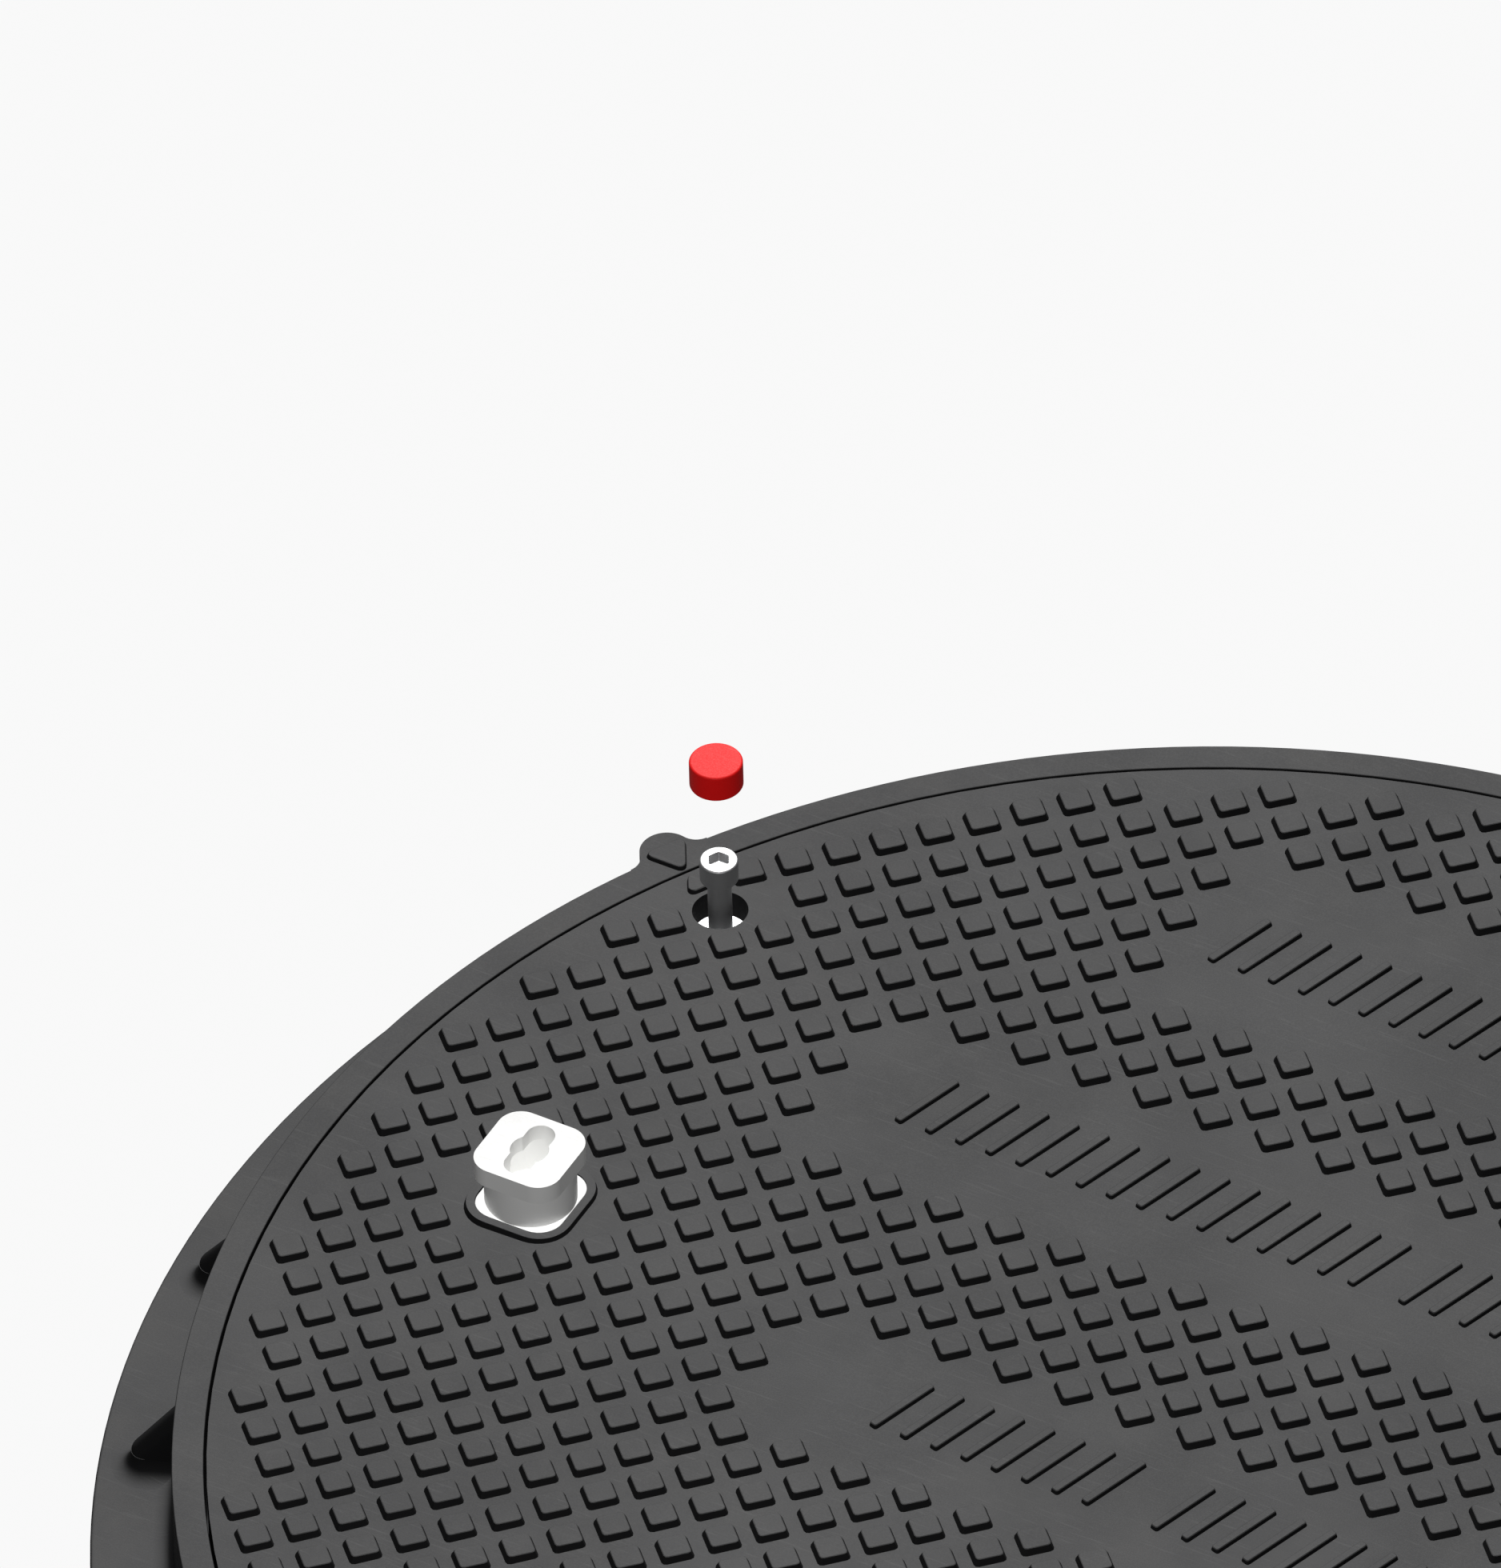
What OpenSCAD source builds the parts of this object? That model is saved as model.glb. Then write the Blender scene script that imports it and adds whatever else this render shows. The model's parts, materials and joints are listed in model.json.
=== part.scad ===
// Round composite manhole cover in its flanged frame, with lock bolts under push-in caps
// and two lifting-key sockets. Origin: centre of the frame's underside, +Z up.

/* [Frame] */
// Clear opening through the frame
opening_d = 750; // [620:1:900]
// Overall height of the frame
frame_h = 58; // [48:0.5:80]
// Width of the ledge under the cover's edge
ledge_w = 27.6; // [24:0.1:36]
// Thickness of the ledge and of the bolt lugs
ledge_t = 18; // [15:0.5:22]
// Thickness of the upright wall round the cover
wall_t = 13.1; // [10:0.1:20]
// Width of the flange outside the wall
flange_w = 34.3; // [28:0.1:60]
// Thickness of the flange
flange_t = 10; // [8:0.5:14]
// Fillet between wall and flange
neck_fillet = 9; // [4:0.5:12]
// Radius of each bolt lug's nose
lug_r = 17; // [14:0.5:18]

/* [Gussets] */
// Number of gussets round the wall
gusset_n = 24; // [12:1:36]
// Thickness of a gusset, and its round nose
gusset_t = 12; // [8:0.5:16]
// How far a gusset reaches out from the wall
gusset_reach = 20.4; // [16:0.1:24]
// Height of a gusset above the flange, at the wall
gusset_rise = 31.7; // [20:0.1:34]
// Height of a gusset above the flange, at its nose
gusset_nose_h = 6.5; // [2:0.1:12]

/* [Ears and marks] */
// Radius of the ear beside each bolt
ear_r = 11.1; // [9:0.1:14]
// Ear's centre, outside the wall's outer face
ear_out = 1.4; // [0:0.1:3]
// Fillets where the ear meets the wall
ear_fillet = 8; // [4:0.5:12]
// Straight side of the arrow mark on the ear
ear_mark = 12; // [6:0.5:14]
// Mark's centre, in from the ear's centre
ear_mark_in = 3.6; // [1:0.1:4]
// Straight side of the arrow mark on the cover
cover_mark = 5; // [3:0.5:6]
// Corner radius of the marks
mark_r = 2.35; // [1:0.05:3]
// Height of the marks
mark_h = 2; // [1:0.1:3]
// Cover's mark, in from the cover's edge
mark_inset = 9.1; // [8:0.1:11]

/* [Cover] */
// Gap between the cover and the wall
seam = 1.2; // [0.6:0.1:3]
// Rise of the domed top from its edge to its centre
crown = 4.85; // [2:0.05:10]
// Thickness of the top skin at the edge
skin_t = 12; // [8:0.5:16]
// Thickness of the cover's edge ring
skirt_w = 24; // [20:0.5:30]
// Thickness of the ribs under the skin
rib_t = 8; // [5:0.5:12]
// Spacing of the ribs
rib_pitch = 80; // [60:1:90]
// Height of the ribs' lower edges above the frame's underside
rib_floor = 14; // [10:0.5:20]
// Gap between the ribs' ends and the ledge
rib_gap = 23; // [20:0.5:30]

/* [Seat gasket] */
// Thickness of the gasket between ledge and cover
gasket_t = 4; // [2:0.1:6]
// Width of the gasket
gasket_w = 16; // [10:0.5:17]
// Gasket's distance from the wall
gasket_inset = 2.6; // [1:0.1:3]
// Running gap between two stacked pieces
stack_gap = 0.3; // [0.2:0.05:0.6]

/* [Lifting sockets] */
// Socket's axis, in from the cover's edge
key_inset = 92.8; // [80:0.1:110]
// Side of the square top plate
key_w = 38.8; // [36:0.1:46]
// Corner radius of the plates
key_corner = 10; // [6:0.5:14]
// Thickness of the top plate
key_plate_t = 9.1; // [7:0.1:11]
// Round barrel's distance in from the top plate's sides
barrel_in = 0.3; // [0.1:0.05:2]
// Height from the base plate to the top
key_h = 25.6; // [20:0.1:28]
// Thickness of the base plate
key_base_t = 6; // [4:0.5:8]
// Width of the keyhole's slot
slot_w = 12; // [8:0.1:14]
// Length of the keyhole's slot
slot_l = 30.6; // [24:0.1:32]
// Diameter of the eye in the middle of the keyhole
eye_d = 16; // [14.5:0.1:20]
// Depth of the keyhole above the turning chamber
slot_depth = 7.6; // [5:0.1:10]
// Gap between the plates and the pocket, each side
key_gap = 0.3; // [0.2:0.05:0.8]
// Width of the raised rim round the pocket
rim_w = 3.4; // [2:0.1:6]
// Height of the rim above the cover
rim_h = 2.4; // [1:0.1:4]
// Depth of the base plate below the rim when the socket is raised
key_sink = 0.5; // [0.2:0.1:2]
// Wall and floor round the pocket
pocket_wall = 6; // [4:0.5:8]

/* [Lock bolts] */
// Bolt's axis, in from the edge of the clear opening
bolt_inset = 0.6; // [0:0.1:4]
// Bolt diameter
bolt_d = 10; // [8:0.1:12]
// Diameter of the bolt's head
head_d = 16; // [14:0.1:18]
// Height of the bolt's head
head_h = 10; // [8:0.1:12]
// Size of the hexagon socket across its flats
hex_af = 8; // [6:0.5:9]
// Depth of the hexagon socket
hex_depth = 5; // [3:0.5:6]
// Radius of the head's top edge
head_edge = 0.9; // [0.3:0.1:1.5]
// Diameter of the counterbore
pocket_d = 23.2; // [21:0.1:26]
// Depth of the counterbore
pocket_depth = 13; // [12:0.1:16]
// Outer diameter of the steel bush and of the thread insert
bush_d = 14; // [12.8:0.1:16]
// Thickness of the bush's flange
bush_flange_t = 2.6; // [1.5:0.1:4]
// Length of thread engaged when the bolt is home
engage = 12.4; // [8:0.1:13]
// Length of shank left in the bush when the bolt is backed out
bolt_hold = 8.6; // [5:0.1:14]
// Radial running clearance of the bolt
bolt_play = 0.08; // [0.03:0.01:0.1]

/* [Caps] */
// Diameter of a cap
cap_d = 22.2; // [18.5:0.1:22.6]
// Height of a cap
cap_h = 12.3; // [11:0.1:14]
// Radius of the cap's top edge
cap_edge = 1; // [0.4:0.1:1.5]
// Radial clearance of the cap on the bolt's head
cap_play = 0.1; // [0.05:0.01:0.1]
// How far a cap is drawn off its bolt
cap_lift = 53; // [20:1:80]

/* [Hidden] */

eps = 0.01;
cross = 0.03;                             // overlap of two round faces that would only touch
over = 1;                                 // how far a body runs past the plane that trims it
fine = 180;
small = 64;

opening_r = opening_d / 2;
bore_r = opening_r + ledge_w;             // inner face of the wall
neck_r = bore_r + wall_t;                 // outer face of the wall
flange_r = neck_r + flange_w;
cover_r = bore_r - seam;
cover_floor = ledge_t + gasket_t + stack_gap;
skin_floor = frame_h - skin_t;
web_floor = cover_floor + 1.5;            // outer ends of the ribs, a step above the cover's seat
boss_floor = web_floor + 1.5;             // bosses round the bolts, a step above the ribs' ends

bolt_r = opening_r - bolt_inset;
bolt_angles = [150, 270, 30];
bolt_out = [true, false, false];          // station 1 is open, the others are closed
bush_top = top_z(bolt_r) - pocket_depth;
bush_l = bush_top - ledge_t - stack_gap;
bolt_l = bush_top - ledge_t + engage;
bolt_lift = bolt_l - bolt_hold;
insert_l = ledge_t - 2;
insert_bore = engage + 2;

key_r = cover_r - key_inset;
key_lift = key_h - key_sink;
rim_z = top_z(key_r) + rim_h;
pocket_w = key_w + 2 * key_gap;
pocket_corner = key_corner + key_gap;
pocket_floor = rim_z - key_h - key_base_t - stack_gap;

ear_x = neck_r + ear_out;

// Height of the domed top at a distance from the centre
function top_z(r) = frame_h + crown * (1 - pow(min(r, cover_r) / cover_r, 2));
function at(r, a) = [r * cos(a), r * sin(a)];

// Rounded square, exact sides and corners
module round_square(w, r) {
    square([w - 2 * r, w], center = true);
    square([w, w - 2 * r], center = true);
    for (x = [-1, 1], y = [-1, 1])
        translate([x * (w / 2 - r), y * (w / 2 - r)]) circle(r, $fn = small);
}

// Triangle with round corners, one corner towards +X
module arrow(side) {
    hull() for (a = [0, 120, 240]) translate(at(side / sqrt(3), a)) circle(mark_r, $fn = 32);
}

module slot2d() {
    half = slot_l / 2 - slot_w / 2;
    square([slot_w, 2 * half], center = true);
    for (y = [-1, 1]) translate([0, y * half]) circle(d = slot_w, $fn = small);
}

// ---- frame ----

module neck_profile() {
    translate([opening_r, 0]) square([flange_r - opening_r, flange_t]);
    translate([opening_r, 0]) square([neck_r - opening_r, frame_h + over]);
    difference() {
        translate([neck_r - eps, flange_t - eps]) square(neck_fillet + eps);
        translate([neck_r + neck_fillet, flange_t + neck_fillet]) circle(neck_fillet, $fn = small);
    }
}

// Upright rib with a round nose and a sloping top
module gusset() {
    root = neck_r - wall_t / 2;
    tip = neck_r + gusset_reach;
    intersection() {
        translate([root, 0, flange_t / 2]) {
            translate([0, -gusset_t / 2, 0])
                cube([tip - root - gusset_t / 2, gusset_t, gusset_rise + flange_t / 2]);
            translate([tip - root - gusset_t / 2, 0, 0])
                cylinder(d = gusset_t, h = gusset_rise + flange_t / 2, $fn = small);
        }
        rotate([90, 0, 0]) linear_extrude(2 * gusset_t, center = true)
            polygon([[root - 1, 0], [tip + 1, 0], [tip + 1, flange_t + gusset_nose_h],
                     [tip, flange_t + gusset_nose_h], [neck_r, flange_t + gusset_rise],
                     [root - 1, flange_t + gusset_rise]]);
    }
}

// Ear with its two fillets, on the wall's outer face
module ear2d() {
    away = neck_r + ear_fillet;
    fx = (pow(away, 2) - pow(ear_r + ear_fillet, 2) + pow(ear_x, 2)) / (2 * ear_x);
    fy = sqrt(pow(away, 2) - pow(fx, 2));
    inside = neck_r - wall_t / 2;
    translate([ear_x, 0]) circle(ear_r, $fn = small);
    difference() {
        polygon([[inside, -fy], [fx, -fy], [ear_x, 0], [fx, fy], [inside, fy]]);
        for (y = [-fy, fy]) translate([fx, y]) circle(ear_fillet + cross, $fn = small);
    }
}

// Ring, gussets, lugs and ears, trimmed together so that their tops and undersides are single faces
module frame_casting() {
    difference() {
        union() {
            rotate_extrude($fn = fine) neck_profile();
            for (i = [0 : gusset_n - 1]) rotate((i + 0.5) * 360 / gusset_n) gusset();
            for (a = bolt_angles) rotate(a) {
                translate([bolt_r, 0, -over]) cylinder(r = lug_r, h = ledge_t + 3 * over, $fn = small);
                translate([0, 0, flange_t / 2]) linear_extrude(frame_h) ear2d();
            }
        }
        translate([0, 0, ledge_t]) cylinder(r = bore_r, h = frame_h, $fn = fine);
        translate([0, 0, frame_h]) cylinder(r = flange_r, h = frame_h, $fn = fine);
        translate([0, 0, -2 * over]) cylinder(r = flange_r, h = 2 * over, $fn = fine);
    }
}

module frame() {
    color("dimgray") difference() {
        union() {
            frame_casting();
            for (a = bolt_angles) rotate(a) translate([ear_x - ear_mark_in, 0, frame_h - over])
                rotate(180) linear_extrude(mark_h + over) arrow(ear_mark);
        }
        for (a = bolt_angles) rotate(a) translate([bolt_r, 0, ledge_t - insert_l])
            cylinder(d = bush_d, h = insert_l + over, $fn = small);
    }
}

module seat_gasket() {
    outer = bore_r - gasket_inset;
    color([0.08, 0.08, 0.08]) translate([0, 0, ledge_t]) rotate_extrude($fn = fine) {
        translate([outer - gasket_w, 0]) square([gasket_w, gasket_t * 0.7]);
        for (k = [0 : 2]) translate([outer - gasket_w + gasket_w * (k + 0.5) / 3, gasket_t * 0.5])
            square([gasket_w / 7, gasket_t], center = true);
    }
}

module thread_insert(i) {
    groove = 0.8;
    color("darkgoldenrod") rotate(bolt_angles[i]) translate([bolt_r, 0, ledge_t - insert_l])
        difference() {
            cylinder(d = bush_d, h = insert_l, $fn = small);
            for (z = [0.3, 0.65]) translate([0, 0, z * insert_l]) difference() {
                cylinder(d = bush_d + 2, h = 1.6, $fn = small);
                translate([0, 0, -1]) cylinder(d = bush_d - 2 * groove, h = 4, $fn = small);
            }
            translate([0, 0, insert_l - insert_bore])
                cylinder(d = bolt_d + 2 * bolt_play, h = insert_bore + 1, $fn = small);
        }
}

// ---- cover ----

module dome_profile() {
    rings = 12;
    polygon(concat([[0, skin_floor]],
        [for (i = [0 : rings]) [cover_r * i / rings, top_z(cover_r * i / rings)]],
        [[cover_r, cover_floor], [cover_r - skirt_w, cover_floor], [cover_r - skirt_w, skin_floor]]));
}

module ribs() {
    reach = cover_r - skirt_w + over;
    lines = floor(reach / rib_pitch);
    intersection() {
        union() for (k = [-lines : lines], turn = [0, 90]) rotate(turn)
            translate([-reach, k * rib_pitch - rib_t / 2, rib_floor])
                cube([2 * reach, rib_t, skin_floor + over - rib_floor]);
        union() {
            translate([0, 0, rib_floor]) cylinder(r = opening_r - rib_gap, h = frame_h, $fn = fine);
            translate([0, 0, web_floor]) cylinder(r = reach, h = frame_h, $fn = fine);
        }
    }
}

module cover() {
    color("dimgray") difference() {
        union() {
            rotate_extrude($fn = fine) dome_profile();
            ribs();
            for (a = bolt_angles) rotate(a) {
                translate([bolt_r, 0, boss_floor]) cylinder(
                    d = pocket_d + 2 * pocket_wall, h = skin_floor + 2 * over - boss_floor, $fn = small);
                translate([cover_r - mark_inset, 0, frame_h - over])
                    linear_extrude(mark_h + over) arrow(cover_mark);
            }
            for (x = [-key_r, key_r]) translate([x, 0, 0]) {
                translate([0, 0, pocket_floor - pocket_wall])
                    linear_extrude(skin_floor + 3 * over - pocket_floor + pocket_wall)
                        round_square(pocket_w + 2 * pocket_wall, pocket_corner + pocket_wall);
                translate([0, 0, frame_h - over]) linear_extrude(rim_z - frame_h + over)
                    round_square(pocket_w + 2 * rim_w, pocket_corner + rim_w);
            }
        }
        for (a = bolt_angles) rotate(a) translate([bolt_r, 0, 0]) {
            translate([0, 0, bush_top - bush_flange_t]) cylinder(d = pocket_d, h = frame_h, $fn = small);
            translate([0, 0, rib_floor]) cylinder(d = bush_d, h = frame_h - rib_floor, $fn = small);
        }
        for (x = [-key_r, key_r]) translate([x, 0, pocket_floor])
            linear_extrude(frame_h) round_square(pocket_w, pocket_corner);
    }
}

module bolt_bush(i) {
    color("silver") rotate(bolt_angles[i]) translate([bolt_r, 0, 0]) difference() {
        union() {
            translate([0, 0, bush_top - bush_flange_t])
                cylinder(d = pocket_d, h = bush_flange_t, $fn = small);
            translate([0, 0, bush_top - bush_l])
                cylinder(d = bush_d, h = bush_l, $fn = small);
        }
        translate([0, 0, bush_top - bush_l - 1])
            cylinder(d = bolt_d + 2 * bolt_play, h = bush_l + 2, $fn = small);
    }
}

// ---- lifting sockets ----

// Plate and barrel, with the keyhole and the chamber in which the key turns by a quarter
module key_socket(x, lift) {
    chamber_r = slot_l / 2;
    color("white") translate([x, 0, rim_z - key_h + lift]) difference() {
        union() {
            cylinder(r = key_w / 2 - barrel_in, h = key_h, $fn = small);
            translate([0, 0, key_h - key_plate_t]) linear_extrude(key_plate_t)
                round_square(key_w, key_corner);
        }
        translate([0, 0, -1]) linear_extrude(key_h + 2) {
            slot2d();
            circle(d = eye_d, $fn = small);
        }
        translate([0, 0, -1]) linear_extrude(key_h - slot_depth + 1) {
            rotate(90) slot2d();
            intersection() {
                circle(chamber_r, $fn = small);
                for (turn = [0, 180]) rotate(turn) translate([-chamber_r, 0]) square(chamber_r);
            }
        }
    }
}

module key_base(x, lift) {
    color("white") translate([x, 0, rim_z - key_h + lift - key_base_t])
        linear_extrude(key_base_t) round_square(key_w, key_corner);
}

// ---- bolts and caps ----

module round_top(r, h, edge) {
    rotate_extrude($fn = small) {
        square([r, h - edge]);
        square([r - edge, h]);
        translate([r - edge, h - edge]) intersection() {
            circle(edge, $fn = small);
            square(edge);
        }
    }
}

module lock_bolt(i) {
    lift = bolt_out[i] ? bolt_lift : 0;
    tip = 1;
    color("gray") rotate(bolt_angles[i]) translate([bolt_r, 0, bush_top + lift]) difference() {
        union() {
            round_top(head_d / 2, head_h, head_edge);
            translate([0, 0, tip - bolt_l]) cylinder(d = bolt_d, h = bolt_l - tip + eps, $fn = small);
            translate([0, 0, -bolt_l]) cylinder(d1 = bolt_d - 2 * tip, d2 = bolt_d, h = tip, $fn = small);
        }
        translate([0, 0, head_h - hex_depth]) rotate(30)
            cylinder(d = hex_af / cos(30), h = hex_depth + 1, $fn = 6);
    }
}

module bolt_cap(i) {
    lift = bolt_out[i] ? bolt_lift + cap_lift : 0;
    room = head_h + stack_gap;
    color("red") rotate(bolt_angles[i]) translate([bolt_r, 0, bush_top + lift]) difference() {
        round_top(cap_d / 2, cap_h, cap_edge);
        translate([0, 0, -1]) cylinder(r = head_d / 2 + cap_play, h = room + 1, $fn = small);
    }
}

frame();
seat_gasket();
thread_insert(0);  // thread_insert_1
thread_insert(1);  // thread_insert_2
thread_insert(2);  // thread_insert_3
cover();
bolt_bush(0);  // bolt_bush_1
bolt_bush(1);  // bolt_bush_2
bolt_bush(2);  // bolt_bush_3
key_socket(-key_r, key_lift);  // key_socket_west
key_base(-key_r, key_lift);  // key_base_west
key_socket(key_r, 0);  // key_socket_east
key_base(key_r, 0);  // key_base_east
lock_bolt(0);  // lock_bolt_1
lock_bolt(1);  // lock_bolt_2
lock_bolt(2);  // lock_bolt_3
bolt_cap(0);  // bolt_cap_1
bolt_cap(1);  // bolt_cap_2
bolt_cap(2);  // bolt_cap_3
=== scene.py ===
import json
import math
import bpy
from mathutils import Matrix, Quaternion, Vector


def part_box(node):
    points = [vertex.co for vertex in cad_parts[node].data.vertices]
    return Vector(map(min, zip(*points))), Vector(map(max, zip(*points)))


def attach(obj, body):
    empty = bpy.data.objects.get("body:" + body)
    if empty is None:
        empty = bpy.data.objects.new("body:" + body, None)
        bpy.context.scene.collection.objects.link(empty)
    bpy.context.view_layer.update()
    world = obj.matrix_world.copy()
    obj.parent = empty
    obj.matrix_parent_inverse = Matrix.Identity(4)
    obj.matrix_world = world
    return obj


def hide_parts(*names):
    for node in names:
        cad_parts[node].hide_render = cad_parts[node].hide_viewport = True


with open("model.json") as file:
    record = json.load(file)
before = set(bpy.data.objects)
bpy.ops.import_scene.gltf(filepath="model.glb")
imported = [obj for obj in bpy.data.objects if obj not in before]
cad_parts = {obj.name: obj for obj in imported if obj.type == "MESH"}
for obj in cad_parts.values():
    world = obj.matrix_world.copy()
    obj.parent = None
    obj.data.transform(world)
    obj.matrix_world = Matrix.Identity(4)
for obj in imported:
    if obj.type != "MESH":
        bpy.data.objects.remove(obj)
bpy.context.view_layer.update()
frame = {"nodes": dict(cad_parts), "record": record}

# A round composite manhole cover in its frame, with lock bolts, red caps and two lifting sockets.
# All sizes are in metres. Axes and outer radii come from the frame.


def nodeCentre(node):
    low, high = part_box(node)
    return (low + high) / 2


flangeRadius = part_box("frame")[1].x
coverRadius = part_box("cover")[1].x
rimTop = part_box("key_socket_east")[1].z          # the lowered socket is flush with its rim
boltAxes = [nodeCentre("bolt_bush_%d" % i) for i in (1, 2, 3)]
socketAxes = [nodeCentre("key_base_west"), nodeCentre("key_base_east")]


def boltTurns():
    return [math.atan2(axis.y, axis.x) for axis in boltAxes]


dome = {
    "edgeHeight": 0.058,
    "crown": 0.00485,
}


def domeHeight(x, y):
    share = min(math.hypot(x, y), coverRadius) / coverRadius
    return dome["edgeHeight"] + dome["crown"] * (1 - share ** 2)


# Working helpers

weld = 1e-6             # points closer than this are one point
levelShare = 0.99       # a face is level when its normal's height passes this
flatAngle = 0.5         # faces that meet within this many degrees are one face
overshoot = 0.01        # how far a cutter stands past what it cuts


def deselectAll():
    if bpy.context.object and bpy.context.object.mode != "OBJECT":
        bpy.ops.object.mode_set(mode="OBJECT")
    bpy.ops.object.select_all(action="DESELECT")


def makeActive(piece):
    deselectAll()
    piece.select_set(True)
    bpy.context.view_layer.objects.active = piece


def editMode(kind="VERT"):
    bpy.ops.object.mode_set(mode="EDIT")
    bpy.ops.mesh.select_mode(type=kind)


def objectMode():
    bpy.ops.object.mode_set(mode="OBJECT")


def selectAll():
    bpy.ops.mesh.select_all(action="SELECT")


def weldPoints():
    bpy.ops.mesh.remove_doubles(threshold=weld)


def faceOutwards():
    selectAll()
    bpy.ops.mesh.normals_make_consistent(inside=False)


def extrudeBy(step):
    bpy.ops.mesh.extrude_region_move(TRANSFORM_OT_translate={"value": step})


# Selects the points or faces of the active piece that pass the test
def pick(kind, test):
    objectMode()
    mesh = bpy.context.object.data
    for group in (mesh.vertices, mesh.edges, mesh.polygons):
        group.foreach_set("select", [False] * len(group))
    if kind == "VERT":
        for v in mesh.vertices:
            v.select = test(v.co)
    else:
        for f in mesh.polygons:
            f.select = test(f.center, f.normal)
    editMode(kind)


def applyModifier(piece, kind, **settings):
    makeActive(piece)
    modifier = piece.modifiers.new(kind.title(), kind)
    for name, value in settings.items():
        setattr(modifier, name, value)
    bpy.ops.object.modifier_apply(modifier=modifier.name)


# Rounds the edges whose faces meet at more than the given angle in degrees
def roundEdges(piece, width, segments, fromAngle):
    applyModifier(piece, "BEVEL", width=width, segments=segments, limit_method="ANGLE",
                  angle_limit=math.radians(fromAngle))


def applyTransform(piece):
    makeActive(piece)
    bpy.ops.object.transform_apply(location=True, rotation=True, scale=True)


def cutWith(piece, cutter, operation="DIFFERENCE"):
    applyModifier(piece, "BOOLEAN", object=cutter, operation=operation, solver="EXACT")
    bpy.data.objects.remove(cutter)


# Clean mesh with smooth shading up to an angle in degrees
def settle(piece, smoothAngle):
    applyTransform(piece)
    editMode()
    selectAll()
    weldPoints()
    faceOutwards()
    objectMode()
    bpy.ops.object.shade_smooth_by_angle(angle=math.radians(smoothAngle))
    applyModifier(piece, "WEIGHTED_NORMAL", keep_sharp=True, weight=50)


def duplicate(piece, location, turn=0):
    twin = piece.copy()
    twin.data = piece.data.copy()
    twin.location = location
    twin.rotation_euler = (0, 0, turn)
    bpy.context.scene.collection.objects.link(twin)
    return twin


def joinAll(pieces, name):
    makeActive(pieces[0])
    for piece in pieces:
        piece.select_set(True)
    bpy.ops.object.join()
    joined = bpy.context.object
    joined.name = name
    return joined


# A plate with rounded corners and sloping sides. Size is the side of a square or the radius of a triangle.
def draftedPlate(name, corners, size, cornerRadius, height, topShare, edge, stretch=1, segments=2):
    deselectAll()
    if corners == 4:
        bpy.ops.mesh.primitive_plane_add(size=size)
    else:
        bpy.ops.mesh.primitive_circle_add(vertices=corners, radius=size, fill_type="NGON")
    piece = bpy.context.object
    piece.name = name
    editMode()
    selectAll()
    bpy.ops.transform.resize(value=(1, stretch, 1))
    bpy.ops.mesh.bevel(offset=cornerRadius, segments=segments, affect="VERTICES")
    selectAll()
    extrudeBy((0, 0, height))
    bpy.ops.transform.resize(value=(topShare[0], topShare[1], 1))
    bpy.ops.mesh.bevel(offset=edge, segments=1, affect="EDGES")
    faceOutwards()
    objectMode()
    return piece


# Materials: shared effects as node groups, then one material for each substance

def blankMaterial(name):
    material = bpy.data.materials.new(name)
    material.use_nodes = True
    return material, material.node_tree, material.node_tree.nodes["Principled BSDF"]


def newGroup(name, inputs, outputs):
    group = bpy.data.node_groups.new(name, "ShaderNodeTree")
    for label, value in inputs.items():
        socket = group.interface.new_socket(label, in_out="INPUT", socket_type="NodeSocketFloat")
        socket.default_value = value
    for label, kind in outputs.items():
        group.interface.new_socket(label, in_out="OUTPUT", socket_type="NodeSocket" + kind)
    return group, group.nodes.new("NodeGroupInput"), group.nodes.new("NodeGroupOutput")


def addNode(tree, kind, values=None, **settings):
    node = tree.nodes.new("ShaderNode" + kind)
    for name, value in settings.items():
        setattr(node, name, value)
    for socket, value in (values or {}).items():
        node.inputs[socket].default_value = value
    return node


def link(tree, source, target):
    tree.links.new(source, target)


def mathNode(tree, operation, first, second):
    node = addNode(tree, "Math", operation=operation)
    for k, value in enumerate((first, second)):
        if isinstance(value, (int, float)):
            node.inputs[k].default_value = value
        else:
            link(tree, value, node.inputs[k])
    return node.outputs["Value"]


# Smooth run from one value to another between two limits
def ramp(tree, value, limits, results=(0.0, 1.0)):
    values = {"From Min": limits[0], "From Max": limits[1], "To Min": results[0], "To Max": results[1]}
    node = addNode(tree, "MapRange", values, interpolation_type="SMOOTHSTEP")
    link(tree, value, node.inputs["Value"])
    return node.outputs["Result"]


effects = {
    "grain": {"Detail": 3, "Roughness": 0.6},
    "mottle": {"Scale": 11, "Detail": 5, "Roughness": 0.62},
    "mottleLimits": (0.32, 0.68),
    "grainLimits": (0.3, 0.7),
    # height of a face's normal, from steep to level
    "levelLimits": (0.55, 0.97),
    "streak": {"Scale": 42, "Detail": 4, "Roughness": 0.55},
    "streakScale": (1, 24, 1),
    # turn of each set of streaks, and the limits of its mask
    "streaks": [(0.5, (0.61, 0.70)), (2.1, (0.625, 0.715))],
    "cloud": {"Scale": 26, "Detail": 7, "Roughness": 0.7},
    "cloudLimits": (0.42, 0.72),
}


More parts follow.
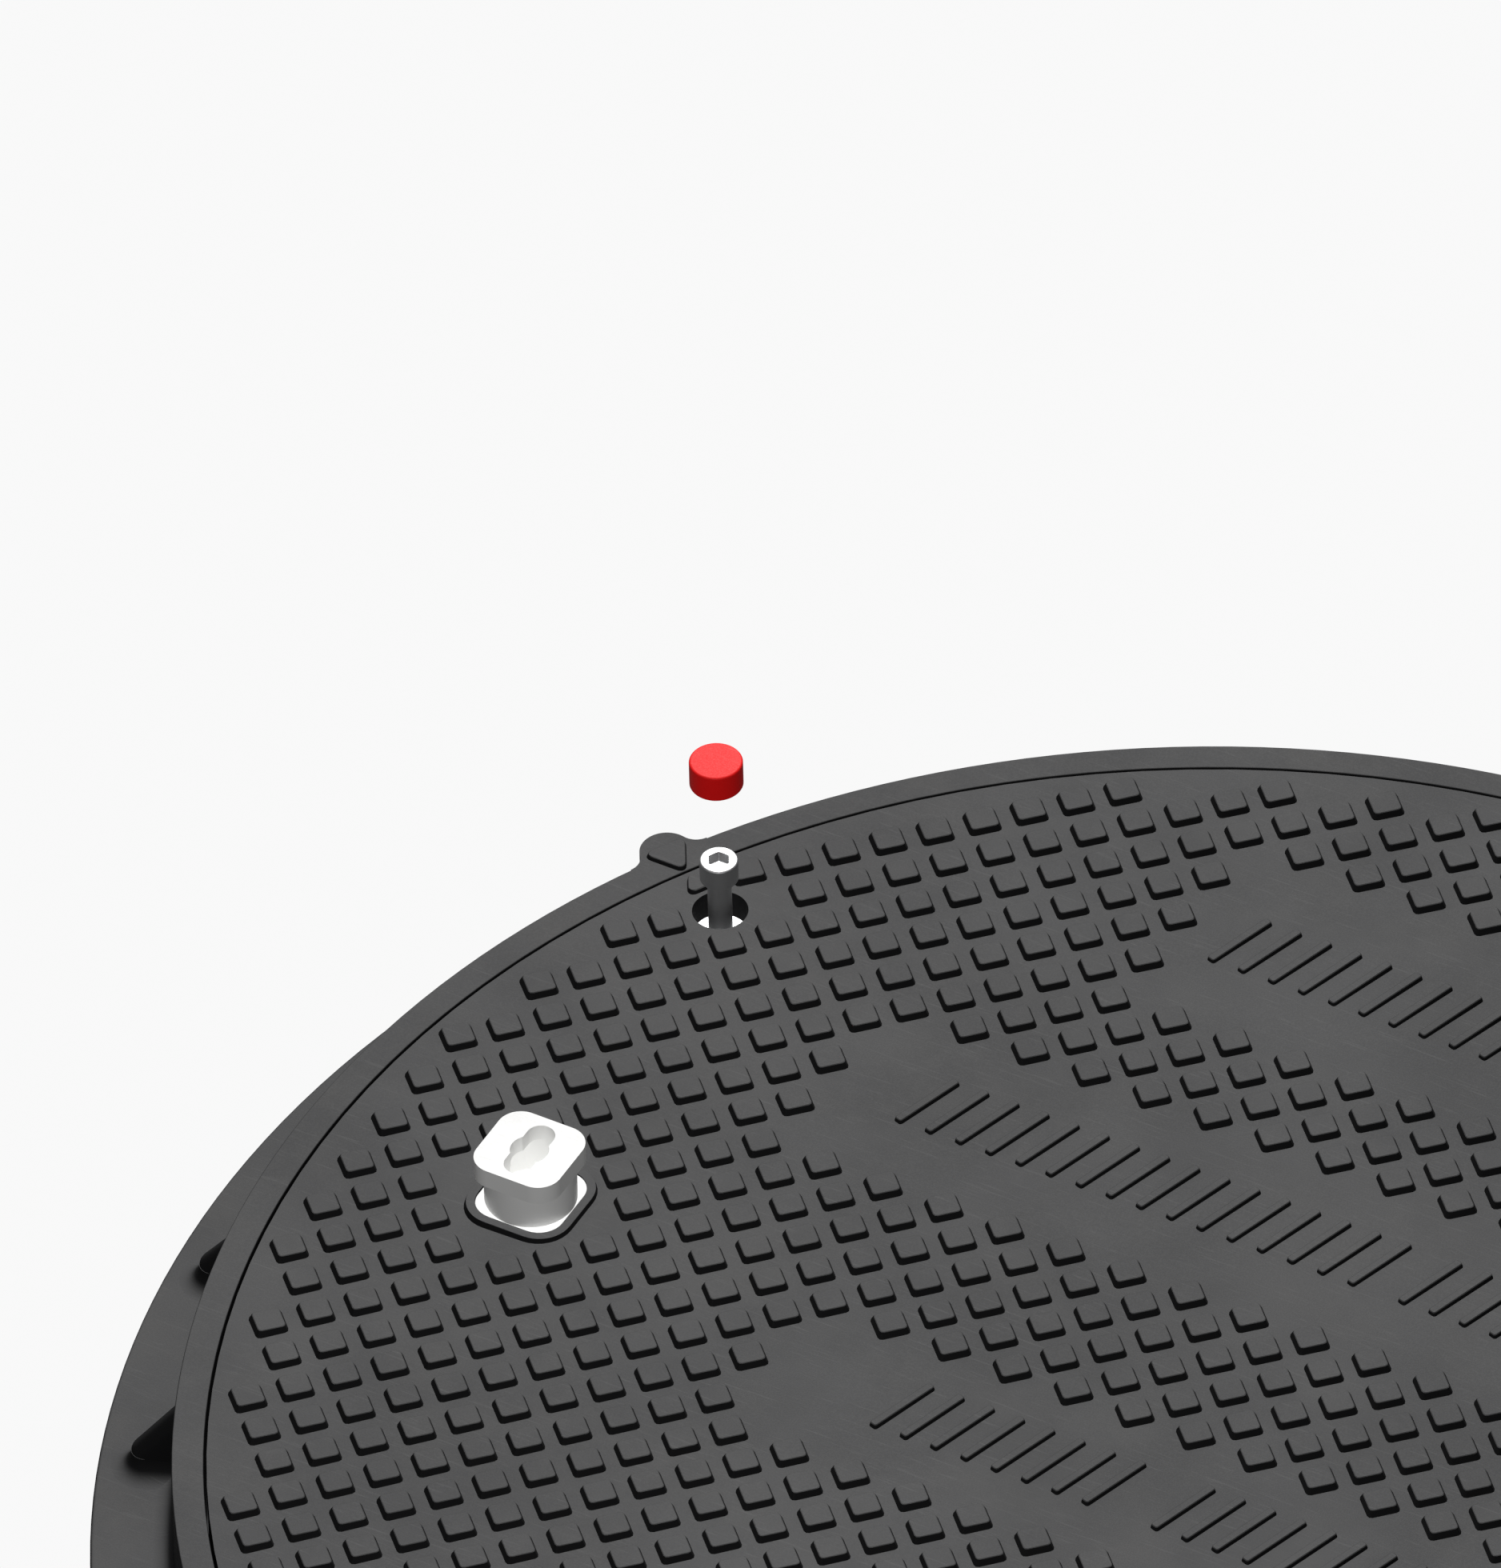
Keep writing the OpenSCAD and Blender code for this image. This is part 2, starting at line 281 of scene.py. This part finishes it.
# Fine moulded or worked grain: a normal, the grain itself and slow cloudy mottling
def buildGrain():
    group, given, out = newGroup("surfaceGrain", {"Fineness": 900.0, "Upright": 1.0, "Depth": 0.00004},
                                 {"Grain": "Float", "Mottle": "Float", "Normal": "Vector"})
    place = addNode(group, "TexCoord")
    stretch = addNode(group, "CombineXYZ", {"X": 1, "Y": 1})
    link(group, given.outputs["Upright"], stretch.inputs["Z"])
    scaled = addNode(group, "VectorMath", operation="MULTIPLY")
    link(group, place.outputs["Object"], scaled.inputs[0])
    link(group, stretch.outputs["Vector"], scaled.inputs[1])
    grain = addNode(group, "TexNoise", effects["grain"])
    link(group, scaled.outputs["Vector"], grain.inputs["Vector"])
    link(group, given.outputs["Fineness"], grain.inputs["Scale"])
    mottle = addNode(group, "TexNoise", effects["mottle"])
    link(group, place.outputs["Object"], mottle.inputs["Vector"])
    bump = addNode(group, "Bump", {"Strength": 1.0})
    link(group, given.outputs["Depth"], bump.inputs["Distance"])
    link(group, grain.outputs["Fac"], bump.inputs["Height"])
    link(group, grain.outputs["Fac"], out.inputs["Grain"])
    link(group, ramp(group, mottle.outputs["Fac"], effects["mottleLimits"]), out.inputs["Mottle"])
    link(group, bump.outputs["Normal"], out.inputs["Normal"])
    return group


# Traffic wear, and the mask for painted shade: how level a face is, with fine scuffs and settled dust on the
# faces that look up
def buildWearAndShade():
    group, given, out = newGroup("surfaceWear", {"Scuffs": 0.5, "Dust": 0.5},
                                 {"Level": "Float", "Scuffs": "Float", "Dust": "Float"})
    geometry = addNode(group, "NewGeometry")
    axes = addNode(group, "SeparateXYZ")
    link(group, geometry.outputs["Normal"], axes.inputs["Vector"])
    upward = ramp(group, axes.outputs["Z"], effects["levelLimits"])
    place = addNode(group, "TexCoord")
    scuffs = None
    for turn, limits in effects["streaks"]:
        mapping = addNode(group, "Mapping", {"Rotation": (0, 0, turn), "Scale": effects["streakScale"]})
        link(group, place.outputs["Object"], mapping.inputs["Vector"])
        streak = addNode(group, "TexNoise", effects["streak"])
        link(group, mapping.outputs["Vector"], streak.inputs["Vector"])
        mask = ramp(group, streak.outputs["Fac"], limits)
        scuffs = mask if scuffs is None else mathNode(group, "MAXIMUM", scuffs, mask)
    cloud = addNode(group, "TexNoise", effects["cloud"])
    link(group, place.outputs["Object"], cloud.inputs["Vector"])
    dust = ramp(group, cloud.outputs["Fac"], effects["cloudLimits"])
    for name, mask in (("Scuffs", scuffs), ("Dust", dust)):
        shown = mathNode(group, "MULTIPLY", mask, given.outputs[name])
        link(group, mathNode(group, "MULTIPLY", shown, upward), out.inputs[name])
    # how level a face is, up or down; faces that are not level take the painted shade
    tilt = mathNode(group, "ABSOLUTE", axes.outputs["Z"], 0)
    link(group, ramp(group, tilt, effects["levelLimits"]), out.inputs["Level"])
    return group


grainGroup = buildGrain()
wearAndShadeGroup = buildWearAndShade()


# Runs from one colour to another by a mask; the node's colour sockets go by number
def blend(tree, mask, first, second):
    node = addNode(tree, "Mix", data_type="RGBA")
    link(tree, mask, node.inputs["Factor"])
    for socket, value in ((node.inputs[6], first), (node.inputs[7], second)):
        if isinstance(value, tuple):
            socket.default_value = (*value, 1)
        else:
            link(tree, value, socket)
    return node.outputs[2]


moulded = {"upright": 1, "metal": 0}
machined = {"upright": 14, "metal": 1, "sheen": 0.5}

# tones: the two colours of level faces; then the darker colour painted on upright faces as shade; wear:
# shares of scuffs and dust
substances = {
    "cover_composite": {
        **moulded, "tones": ((0.074, 0.074, 0.075), (0.090, 0.090, 0.091)), "steep": (0.012, 0.012, 0.0125),
        "scuff": (0.13, 0.13, 0.13), "dust": (0.105, 0.103, 0.100), "wear": (0.35, 0.30),
        "fineness": 1500, "depth": 0.00005, "roughness": (0.50, 0.66), "sheen": 0.05},
    "frame_composite": {
        **moulded, "tones": ((0.074, 0.074, 0.075), (0.088, 0.088, 0.089)), "steep": (0.012, 0.012, 0.0125),
        "scuff": (0.13, 0.13, 0.13), "dust": (0.110, 0.107, 0.103), "wear": (0.30, 0.35),
        "fineness": 1300, "depth": 0.00006, "roughness": (0.52, 0.68), "sheen": 0.05},
    "gasket_rubber": {
        **moulded, "tones": ((0.016, 0.016, 0.017), (0.024, 0.024, 0.025)), "steep": (0.014, 0.014, 0.015),
        "scuff": (0.05, 0.05, 0.05), "dust": (0.07, 0.068, 0.064), "wear": (0.2, 0.35),
        "fineness": 2600, "depth": 0.00003, "roughness": (0.70, 0.85), "sheen": 0.2},
    "insert_brass": {
        **machined, "tones": ((0.70, 0.50, 0.20), (0.60, 0.41, 0.15)), "steep": (0.62, 0.44, 0.17),
        "scuff": (0.85, 0.66, 0.34), "dust": (0.24, 0.18, 0.09), "wear": (0.4, 0.4),
        "fineness": 300, "depth": 0.00003, "roughness": (0.26, 0.42)},
    "bush_steel": {
        **machined, "tones": ((0.86, 0.87, 0.88), (0.78, 0.79, 0.80)), "steep": (0.60, 0.61, 0.62),
        "scuff": (0.95, 0.95, 0.95), "dust": (0.50, 0.49, 0.47), "wear": (0.4, 0.25),
        "fineness": 320, "depth": 0.00002, "roughness": (0.30, 0.44)},
    "bolt_steel": {
        **machined, "tones": ((0.56, 0.565, 0.57), (0.50, 0.505, 0.51)), "steep": (0.54, 0.545, 0.55),
        "scuff": (0.95, 0.95, 0.95), "dust": (0.45, 0.44, 0.42), "wear": (0.4, 0.2),
        "fineness": 320, "depth": 0.00002, "roughness": (0.42, 0.56)},
    "socket_white": {
        **moulded, "tones": ((0.90, 0.90, 0.89), (0.86, 0.86, 0.85)), "steep": (0.80, 0.80, 0.79),
        "scuff": (0.72, 0.72, 0.71), "dust": (0.66, 0.64, 0.60), "wear": (0.35, 0.25),
        "fineness": 1800, "depth": 0.00002, "roughness": (0.36, 0.50), "sheen": 0.3},
    "cap_red": {
        **moulded, "tones": ((0.96, 0.026, 0.026), (0.92, 0.022, 0.022)), "steep": (0.94, 0.010, 0.010),
        "scuff": (0.95, 0.10, 0.09), "dust": (0.60, 0.060, 0.050), "wear": (0.4, 0.2),
        "fineness": 1800, "depth": 0.00002, "roughness": (0.34, 0.48), "sheen": 0.08},
}


def makeSubstance(name, look):
    material, tree, shader = blankMaterial(name)
    grain = addNode(tree, "Group", node_tree=grainGroup)
    for socket in ("Fineness", "Upright", "Depth"):
        grain.inputs[socket].default_value = look[socket.lower()]
    wear = addNode(tree, "Group", node_tree=wearAndShadeGroup)
    wear.inputs["Scuffs"].default_value, wear.inputs["Dust"].default_value = look["wear"]
    body = blend(tree, grain.outputs["Mottle"], *look["tones"])
    # upright faces take a darker colour in place of the tones: painted shade, darkest on the composites
    body = blend(tree, wear.outputs["Level"], look["steep"], body)
    body = blend(tree, wear.outputs["Dust"], body, look["dust"])
    body = blend(tree, wear.outputs["Scuffs"], body, look["scuff"])
    link(tree, body, shader.inputs["Base Color"])
    roughness = ramp(tree, grain.outputs["Grain"], effects["grainLimits"], look["roughness"])
    link(tree, roughness, shader.inputs["Roughness"])
    link(tree, grain.outputs["Normal"], shader.inputs["Normal"])
    shader.inputs["Metallic"].default_value = look["metal"]
    shader.inputs["Specular IOR Level"].default_value = look["sheen"]
    return material


palette = {name: makeSubstance(name, look) for name, look in substances.items()}


def dress(piece, slotName):
    piece.data.materials.clear()
    piece.data.materials.append(palette[slotName])


# Camera, lights and floor

studio = {
    "target": (-0.3502, 0.2597, 0.058),
    "azimuth": 30.07,
    "elevation": 43.04,
    "roll": 1.64,
    "distance": 28,
    "fieldHeight": 0.6425,
    "sensor": 36,
    "clipStart": 1,
    "clipEnd": 80,
    "floorSize": 30,
    "floorHeight": -0.0004,
    "floorTone": 0.945,
    "worldStrength": 0.12,
    # each softbox: name, location, size, power, aim
    "softboxes": [("backSoftbox", (-1.35, 2.55, 2.75), 2.0, 150, (-0.2, 0.15, 0.05)),
                  ("nearSoftbox", (0.02, -0.60, 0.86), 0.5, 3.5, (-0.3, 0.2, 0.05))],
}


def placeCamera():
    turn, rise = math.radians(studio["azimuth"]), math.radians(studio["elevation"])
    back = Vector((math.sin(turn) * math.cos(rise), -math.cos(turn) * math.cos(rise), math.sin(rise)))
    bpy.ops.object.camera_add(location=Vector(studio["target"]) + back * studio["distance"])
    camera = bpy.context.object
    camera.name = "viewCamera"
    camera.rotation_mode = "QUATERNION"
    level = (-back).to_track_quat("-Z", "Y")
    camera.rotation_quaternion = Quaternion(back, -math.radians(studio["roll"])) @ level
    camera.data.sensor_width = studio["sensor"]
    camera.data.lens = studio["sensor"] * studio["distance"] / studio["fieldHeight"]
    camera.data.clip_start = studio["clipStart"]
    camera.data.clip_end = studio["clipEnd"]
    bpy.context.scene.camera = camera


def softbox(name, location, size, power, aim):
    bpy.ops.object.light_add(type="AREA", location=location)
    light = bpy.context.object
    light.name = name
    light.data.shape = "SQUARE"
    light.data.size = size
    light.data.energy = power
    light.data.use_shadow = False
    light.visible_camera = False
    light.rotation_euler = (Vector(aim) - Vector(location)).to_track_quat("-Z", "Y").to_euler()


# An even tone seen from above and unseen from below, which takes no part in the lighting
def layFloor():
    deselectAll()
    bpy.ops.mesh.primitive_plane_add(size=studio["floorSize"], location=(0, 0, studio["floorHeight"]))
    floor = bpy.context.object
    floor.name = "studioFloor"
    material, tree, shader = blankMaterial("studioFloor")
    shader.inputs["Base Color"].default_value = (0, 0, 0, 1)
    shader.inputs["Specular IOR Level"].default_value = 0
    shader.inputs["Emission Color"].default_value = (1, 1, 1, 1)
    shader.inputs["Emission Strength"].default_value = studio["floorTone"]
    path, geometry = addNode(tree, "LightPath"), addNode(tree, "NewGeometry")
    front = mathNode(tree, "SUBTRACT", 1, geometry.outputs["Backfacing"])
    link(tree, mathNode(tree, "MULTIPLY", path.outputs["Is Camera Ray"], front), shader.inputs["Alpha"])
    floor.data.materials.append(material)


def lightStudio():
    world = bpy.data.worlds.new("studioWorld")
    bpy.context.scene.world = world
    world.use_nodes = True
    background = world.node_tree.nodes["Background"]
    background.inputs["Color"].default_value = (1, 1, 1, 1)
    path = addNode(world.node_tree, "LightPath")
    tone = ramp(world.node_tree, path.outputs["Is Camera Ray"], (0, 1),
                (studio["worldStrength"], studio["floorTone"]))
    link(world.node_tree, tone, background.inputs["Strength"])
    for box in studio["softboxes"]:
        softbox(*box)


bpy.context.scene.view_settings.view_transform = "Standard"
placeCamera()
layFloor()
lightStudio()
print("studio ready")


# Tread on the cover: drafted studs on a diagonal grid, blank fields with slanted bars

tread = {
    "row": 0.020 / math.sqrt(2),        # half the diagonal of the 20 mm grid
    "side": 0.0145,
    "corner": 0.002,
    "topShare": 0.793,
    "height": 0.003,
    "sink": 0.0006,
    "edge": 0.00025,
    "outer": 0.390,
    "clearSocket": 0.034,
    "clearBolt": 0.020,
    "clearMark": 0.012,
    # blank fields: middle y, half width, half height
    "fields": [(0.2685, 0.1485, 0.0495), (0.1205, 0.233, 0.0425), (-0.0425, 0.177, 0.0355)],
}

bars = {
    "length": 0.034,
    "width": 0.0045,
    "corner": 0.0012,
    "height": 0.002,
    "sink": 0.0006,
    "step": 0.014,
    "slant": math.radians(-18),
    "edge": 0.0003,
    "topShare": (0.78, 0.97),
    # groups of bars: middle x, middle y, half length of the row
    "groups": [(0, 0.2675, 0.130), (-0.0875, 0.1235, 0.110), (0.118, 0.1235, 0.080),
               (-0.065, -0.040, 0.050), (0.065, -0.040, 0.050)],
}


def clearOf(x, y, centre, distance):
    return math.hypot(x - centre[0], y - centre[1]) >= distance


def studPlaces():
    places = []
    count = int(tread["outer"] / tread["row"]) + 1
    markPlaces = [Vector((b.x, b.y)).normalized() * marks["coverRadius"] for b in boltAxes]
    for m in range(-count, count + 1):
        for n in range(-count, count + 1):
            x, y = m * tread["row"], n * tread["row"]
            inField = any(abs(x) < w and abs(y - cy) < h for cy, w, h in tread["fields"])
            free = (all(clearOf(x, y, s, tread["clearSocket"]) for s in socketAxes)
                    and all(clearOf(x, y, b, tread["clearBolt"]) for b in boltAxes)
                    and all(clearOf(x, y, k, tread["clearMark"]) for k in markPlaces))
            if (m + n) % 2 == 0 and math.hypot(x, y) <= tread["outer"] and free and not inField:
                places.append((x, y))
    return places


def makeTread():
    share = tread["topShare"]
    stud = draftedPlate("coverStuds", 4, tread["side"], tread["corner"],
                        tread["height"] + tread["sink"], (share, share), tread["edge"])
    copies = [duplicate(stud, (x, y, domeHeight(x, y) - tread["sink"]), math.pi / 4)
              for x, y in studPlaces()]
    bpy.data.objects.remove(stud)
    return joinAll(copies, "coverStuds")


def makeBars():
    bar = draftedPlate("coverBars", 4, bars["width"], bars["corner"], bars["height"] + bars["sink"],
                       bars["topShare"], bars["edge"], stretch=bars["length"] / bars["width"], segments=3)
    copies = []
    for middleX, middleY, half in bars["groups"]:
        count = int(2 * half / bars["step"])
        for k in range(count + 1):
            x = middleX + (k - count / 2) * bars["step"]
            copies.append(duplicate(bar, (x, middleY, domeHeight(x, middleY) - bars["sink"]), bars["slant"]))
    bpy.data.objects.remove(bar)
    return joinAll(copies, "coverBars")


# Raised rims round the socket pockets, with sloping outer sides

rims = {
    "pocket": 0.03936,
    "pocketCorner": 0.0103,
    "width": 0.0035,
    "draft": 0.0012,
    "depth": 0.0036,
    "lift": 0.00004,         # stands this much above the lowered socket
    "edge": 0.0004,
    "cornerSegments": 8,
    "near": 0.0001,          # how near the axis the middle faces' centres lie
}


def makeRim(axis):
    deselectAll()
    top = rimTop + rims["lift"]
    outer = rims["pocket"] + 2 * (rims["width"] + rims["draft"])
    shrink = (outer - 2 * rims["draft"]) / outer
    bpy.ops.mesh.primitive_plane_add(size=outer, location=(axis.x, axis.y, top - rims["depth"]))
    rim = bpy.context.object
    editMode()
    corner = rims["pocketCorner"] + rims["width"] + rims["draft"]
    bpy.ops.mesh.bevel(offset=corner, segments=rims["cornerSegments"], affect="VERTICES")
    selectAll()
    extrudeBy((0, 0, rims["depth"]))
    bpy.ops.transform.resize(value=(shrink, shrink, 1), center_override=(axis.x, axis.y, top))
    bpy.ops.mesh.bevel(offset=rims["edge"], segments=2, affect="EDGES")
    pick("FACE", lambda place, normal: normal.z > levelShare)
    bpy.ops.mesh.inset(thickness=rims["width"] - rims["edge"])
    pick("FACE", lambda place, normal: normal.z < -levelShare)
    bpy.ops.mesh.inset(thickness=rims["width"] + rims["draft"])
    # the upper and lower middle faces give way to a hole
    pick("FACE", lambda place, normal: (abs(normal.z) > levelShare
                                        and math.hypot(place.x, place.y) < rims["near"]))
    bpy.ops.mesh.bridge_edge_loops()
    objectMode()
    return rim


# Rounded triangular arrow marks, one on the cover and one on the frame at each bolt

marks = {
    "corner": 0.00235,
    "height": 0.0020,
    "sink": 0.0008,
    "edge": 0.00025,
    "draft": 0.0007,
    "coverSide": 0.005,
    "coverRadius": 0.3923,
    "frameSide": 0.012,
    "frameRadius": 0.4135,
}


# A mark's corner points along +Y before it is turned
def makeMark(name, side, place, turn):
    radius = side / math.sqrt(3) + 2 * (marks["corner"] + marks["draft"])
    inner = radius / 2
    share = (inner - marks["draft"]) / inner
    mark = draftedPlate(name, 3, radius, (marks["corner"] + marks["draft"]) * math.sqrt(3),
                        marks["height"] + marks["sink"], (share, share), marks["edge"], segments=6)
    mark.location = (place.x, place.y, place.z - marks["sink"])
    mark.rotation_euler = (0, 0, turn - math.pi / 2)
    return mark


def makeCoverMarks():
    pieces = []
    for turn in boltTurns():
        x, y = marks["coverRadius"] * math.cos(turn), marks["coverRadius"] * math.sin(turn)
        pieces.append(makeMark("coverMark", marks["coverSide"], Vector((x, y, domeHeight(x, y))), turn))
    return joinAll(pieces, "coverMarks")


# The frame: a spun ring with gussets, ears and bolt lugs

ring = {
    "opening": 0.375,
    "bore": 0.4026,
    "neck": 0.4157,
    "ledge": 0.018,
    "flange": 0.010,
    "height": 0.058,
    "steps": 216,
    "near": 1e-5,            # how near its corner a point of the section lies
    "large": 0.005,          # a larger rounding takes more segments
    # radius of the rounding at each corner of the section, from the opening's lower edge outwards
    "rounding": (0.001, 0.0015, 0.0015, 0.009, 0.0007, 0.0007, 0.0015, 0.001),
}

gusset = {
    "count": 24,
    "half": 0.006,
    "noseAxis": 0.4301,
    "noseLift": 0.0080,
    "slope": math.radians(51),
    "fillet": 0.0085,
    "innerEnd": 0.3921,
    "rings": 8,
    "sides": 20,
    "sink": 0.0002,
    "near": 0.0005,          # the drawn-back half begins this far inside the nose's axis
}

ear = {
    "radius": 0.0111,
    "axis": 0.4171,
    "fillet": 0.008,
    "root": 0.409,
    "edge": 0.0007,
    "sides": 64,
}

lug = {
    "radius": 0.017,
    "inset": 0.0006,
    "hole": 0.00702,
    "floor": 0.002,
    "edge": 0.001,
    "sides": 64,
}


def spinRing():
    deselectAll()
    bpy.ops.mesh.primitive_plane_add()
    piece = bpy.context.object
    section = [(ring["opening"], 0), (flangeRadius, 0), (flangeRadius, ring["flange"]),
               (ring["neck"], ring["flange"]), (ring["neck"], ring["height"]), (ring["bore"], ring["height"]),
               (ring["bore"], ring["ledge"]), (ring["opening"], ring["ledge"])]
    editMode()
    bpy.ops.mesh.merge(type="CENTER")
    bpy.ops.transform.translate(value=(section[0][0], 0, section[0][1]))
    for (oldR, oldZ), (newR, newZ) in zip(section, section[1:]):
        extrudeBy((newR - oldR, 0, newZ - oldZ))
    # closes the section from its last point to its first
    pick("VERT", lambda v: v.x < ring["opening"] + ring["near"])
    bpy.ops.mesh.edge_face_add()
    for (radius, height), rounding in zip(section, ring["rounding"]):
        pick("VERT", lambda v: abs(v.x - radius) < ring["near"] and abs(v.z - height) < ring["near"])
        bpy.ops.mesh.bevel(offset=rounding, segments=8 if rounding > ring["large"] else 3, affect="VERTICES")
    selectAll()
    bpy.ops.mesh.spin(steps=ring["steps"], angle=2 * math.pi, center=(0, 0, 0), axis=(0, 0, 1))
    selectAll()
    weldPoints()
    faceOutwards()
    objectMode()
    return piece


# Core with a full round ridge, and a concave foot that runs out on the flange
def makeGusset():
    deselectAll()
    reach = gusset["noseAxis"] - ring["neck"] + gusset["half"]
    nose = Vector((gusset["noseAxis"], 0, ring["flange"] + gusset["noseLift"]))
    top = nose + Vector((-reach, 0, reach * math.tan(gusset["slope"])))
    ends = [nose, top, Vector((nose.x, 0, ring["flange"])), Vector((top.x, 0, ring["flange"]))]
    balls = []
    for place in ends:
        bpy.ops.mesh.primitive_uv_sphere_add(segments=gusset["sides"], ring_count=gusset["sides"] // 2,
                                             radius=gusset["half"], location=place)
        balls.append(bpy.context.object)
    core = joinAll(balls, "gussetCore")
    editMode()
    selectAll()
    bpy.ops.mesh.convex_hull()
    selectAll()
    bpy.ops.mesh.bisect(plane_co=(0, 0, ring["flange"] - gusset["sink"]), plane_no=(0, 0, 1),
                        clear_inner=True, use_fill=True)
    objectMode()
    rib = joinAll([core, gussetFoot()], "gusset")
    applyTransform(rib)
    return rib


# A tapering foot, drawn up ring by ring along a quarter circle
def gussetFoot():
    deselectAll()
    wide = gusset["half"] + gusset["fillet"]
    height = ring["flange"] - gusset["sink"]
    bpy.ops.mesh.primitive_circle_add(vertices=2 * gusset["sides"], radius=wide, fill_type="NGON",
                                      location=(gusset["noseAxis"], 0, height))
    foot = bpy.context.object
    applyTransform(foot)
    # the inner half of the circle is drawn back into the neck
    pick("VERT", lambda v: v.x < gusset["noseAxis"] - gusset["near"])
    bpy.ops.transform.resize(value=(0, 1, 1), center_override=(gusset["innerEnd"], 0, 0))
    selectAll()
    extrudeBy((0, 0, gusset["sink"]))
    height += gusset["sink"]
    quarter = math.pi / 2 / gusset["rings"]
    for k in range(gusset["rings"]):
        narrow = wide - gusset["fillet"] * math.sin((k + 1) * quarter)
        share = narrow / (wide - gusset["fillet"] * math.sin(k * quarter))
        rise = gusset["fillet"] * (math.cos(k * quarter) - math.cos((k + 1) * quarter))
        height += rise
        extrudeBy((0, 0, rise))
        bpy.ops.transform.resize(value=(share, share, 1), center_override=(gusset["noseAxis"], 0, height))
    faceOutwards()
    objectMode()
    return foot


def cylinder(radius, low, high, place, sides):
    deselectAll()
    bpy.ops.mesh.primitive_cylinder_add(vertices=sides, radius=radius, depth=high - low,
                                        location=(place[0], place[1], (low + high) / 2))
    return bpy.context.object


# Round ear, with a fillet on each side where it leaves the neck
def makeEar():
    low, high = ring["flange"] / 2, ring["height"]
    away = ring["neck"] + ear["fillet"]
    reach = ear["radius"] + ear["fillet"]
    filletX = (away ** 2 - reach ** 2 + ear["axis"] ** 2) / (2 * ear["axis"])
    filletY = math.sqrt(away ** 2 - filletX ** 2)
    touchX = ear["axis"] + (filletX - ear["axis"]) * ear["radius"] / reach
    body = cylinder(ear["radius"], low, high, (ear["axis"], 0), ear["sides"])
    deselectAll()
    bpy.ops.mesh.primitive_cube_add(size=1, location=((ear["root"] + touchX) / 2, 0, (low + high) / 2),
                                    scale=(touchX - ear["root"], 2 * filletY, high - low))
    web = bpy.context.object
    for side in (-1, 1):
        cutWith(web, cylinder(ear["fillet"], low - overshoot, high + overshoot,
                              (filletX, side * filletY), ear["sides"]))
    cutWith(body, web, "UNION")
    applyTransform(body)
    roundEdges(body, ear["edge"], segments=2, fromAngle=60)
    return body


def makeLug():
    place = (ring["opening"] - lug["inset"], 0)
    body = cylinder(lug["radius"], 0, ring["ledge"], place, lug["sides"])
    applyTransform(body)
    roundEdges(body, lug["edge"], segments=3, fromAngle=60)
    return body


def makeFrame():
    body = spinRing()
    earShape, lugShape = makeEar(), makeLug()
    for turn in boltTurns():
        cutWith(body, duplicate(lugShape, (0, 0, 0), turn), "UNION")
        cutWith(body, duplicate(earShape, (0, 0, 0), turn), "UNION")
    for axis in boltAxes:
        cutWith(body, cylinder(lug["hole"], lug["floor"], ring["ledge"] + overshoot, axis, lug["sides"]))
    bpy.data.objects.remove(earShape)
    bpy.data.objects.remove(lugShape)
    rib = makeGusset()
    parts = [body]
    for k in range(gusset["count"]):
        parts.append(duplicate(rib, (0, 0, 0), (k + 0.5) * 2 * math.pi / gusset["count"]))
    bpy.data.objects.remove(rib)
    for turn in boltTurns():
        place = Vector((math.cos(turn), math.sin(turn), 0)) * marks["frameRadius"]
        place.z = ring["height"]
        parts.append(makeMark("frameMark", marks["frameSide"], place, turn + math.pi))
    return joinAll(parts, "frameRing")


# Small parts: a softened copy of each, with rounded edges, stands for the part

numbered, sided = ("_1", "_2", "_3"), ("_west", "_east")
softEdges = [
    # kind of part, endings of its nodes, rounding of its edges
    ("seat_gasket", ("",), 0.0003),
    ("thread_insert", numbered, 0.0003),
    ("bolt_bush", numbered, 0.0003),
    ("key_socket", sided, 0.00025),
    ("key_base", sided, 0.00025),
    ("lock_bolt", numbered, 0.0002),
    ("bolt_cap", numbered, 0.0002),
]


def pieceName(node):
    first, *others = node.split("_")
    return first + "".join(word.title() for word in others)


def softenedCopy(node, width):
    piece = bpy.data.objects.new(pieceName(node), frame["nodes"][node].data.copy())
    bpy.context.scene.collection.objects.link(piece)
    makeActive(piece)
    editMode()
    selectAll()
    weldPoints()
    bpy.ops.mesh.dissolve_limited(angle_limit=math.radians(flatAngle))
    objectMode()
    roundEdges(piece, width, segments=2, fromAngle=40)
    settle(piece, smoothAngle=40)
    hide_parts(node)
    return piece


def bodyOf(node):
    return next(body for body, nodes in frame["record"]["behaviour"]["bodies"].items() if node in nodes)


def finishPiece(piece, body, slotName, smoothAngle=25):
    settle(piece, smoothAngle)
    dress(piece, slotName)
    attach(piece, body)


studs = makeTread()
finishPiece(studs, "cover_body", "cover_composite")
rowBars = makeBars()
finishPiece(rowBars, "cover_body", "cover_composite")
rimPieces = joinAll([makeRim(axis) for axis in socketAxes], "socketRims")
finishPiece(rimPieces, "cover_body", "cover_composite", smoothAngle=35)
finishPiece(makeCoverMarks(), "cover_body", "cover_composite", smoothAngle=35)
print("tread ready", len(studs.data.polygons), len(rowBars.data.polygons))

frameRing = makeFrame()
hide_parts("frame")
finishPiece(frameRing, "frame_body", "frame_composite", smoothAngle=35)
print("frame ready", len(frameRing.data.polygons))

slots = {part["node"]: part["material_slot"] for part in frame["record"]["subparts"]}
for kind, endings, width in softEdges:
    for node in [kind + ending for ending in endings]:
        part = softenedCopy(node, width)
        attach(part, bodyOf(node))
        dress(part, slots[node])
print("small parts ready")

for node, mesh in frame["nodes"].items():
    dress(mesh, slots[node])
print("materials ready")
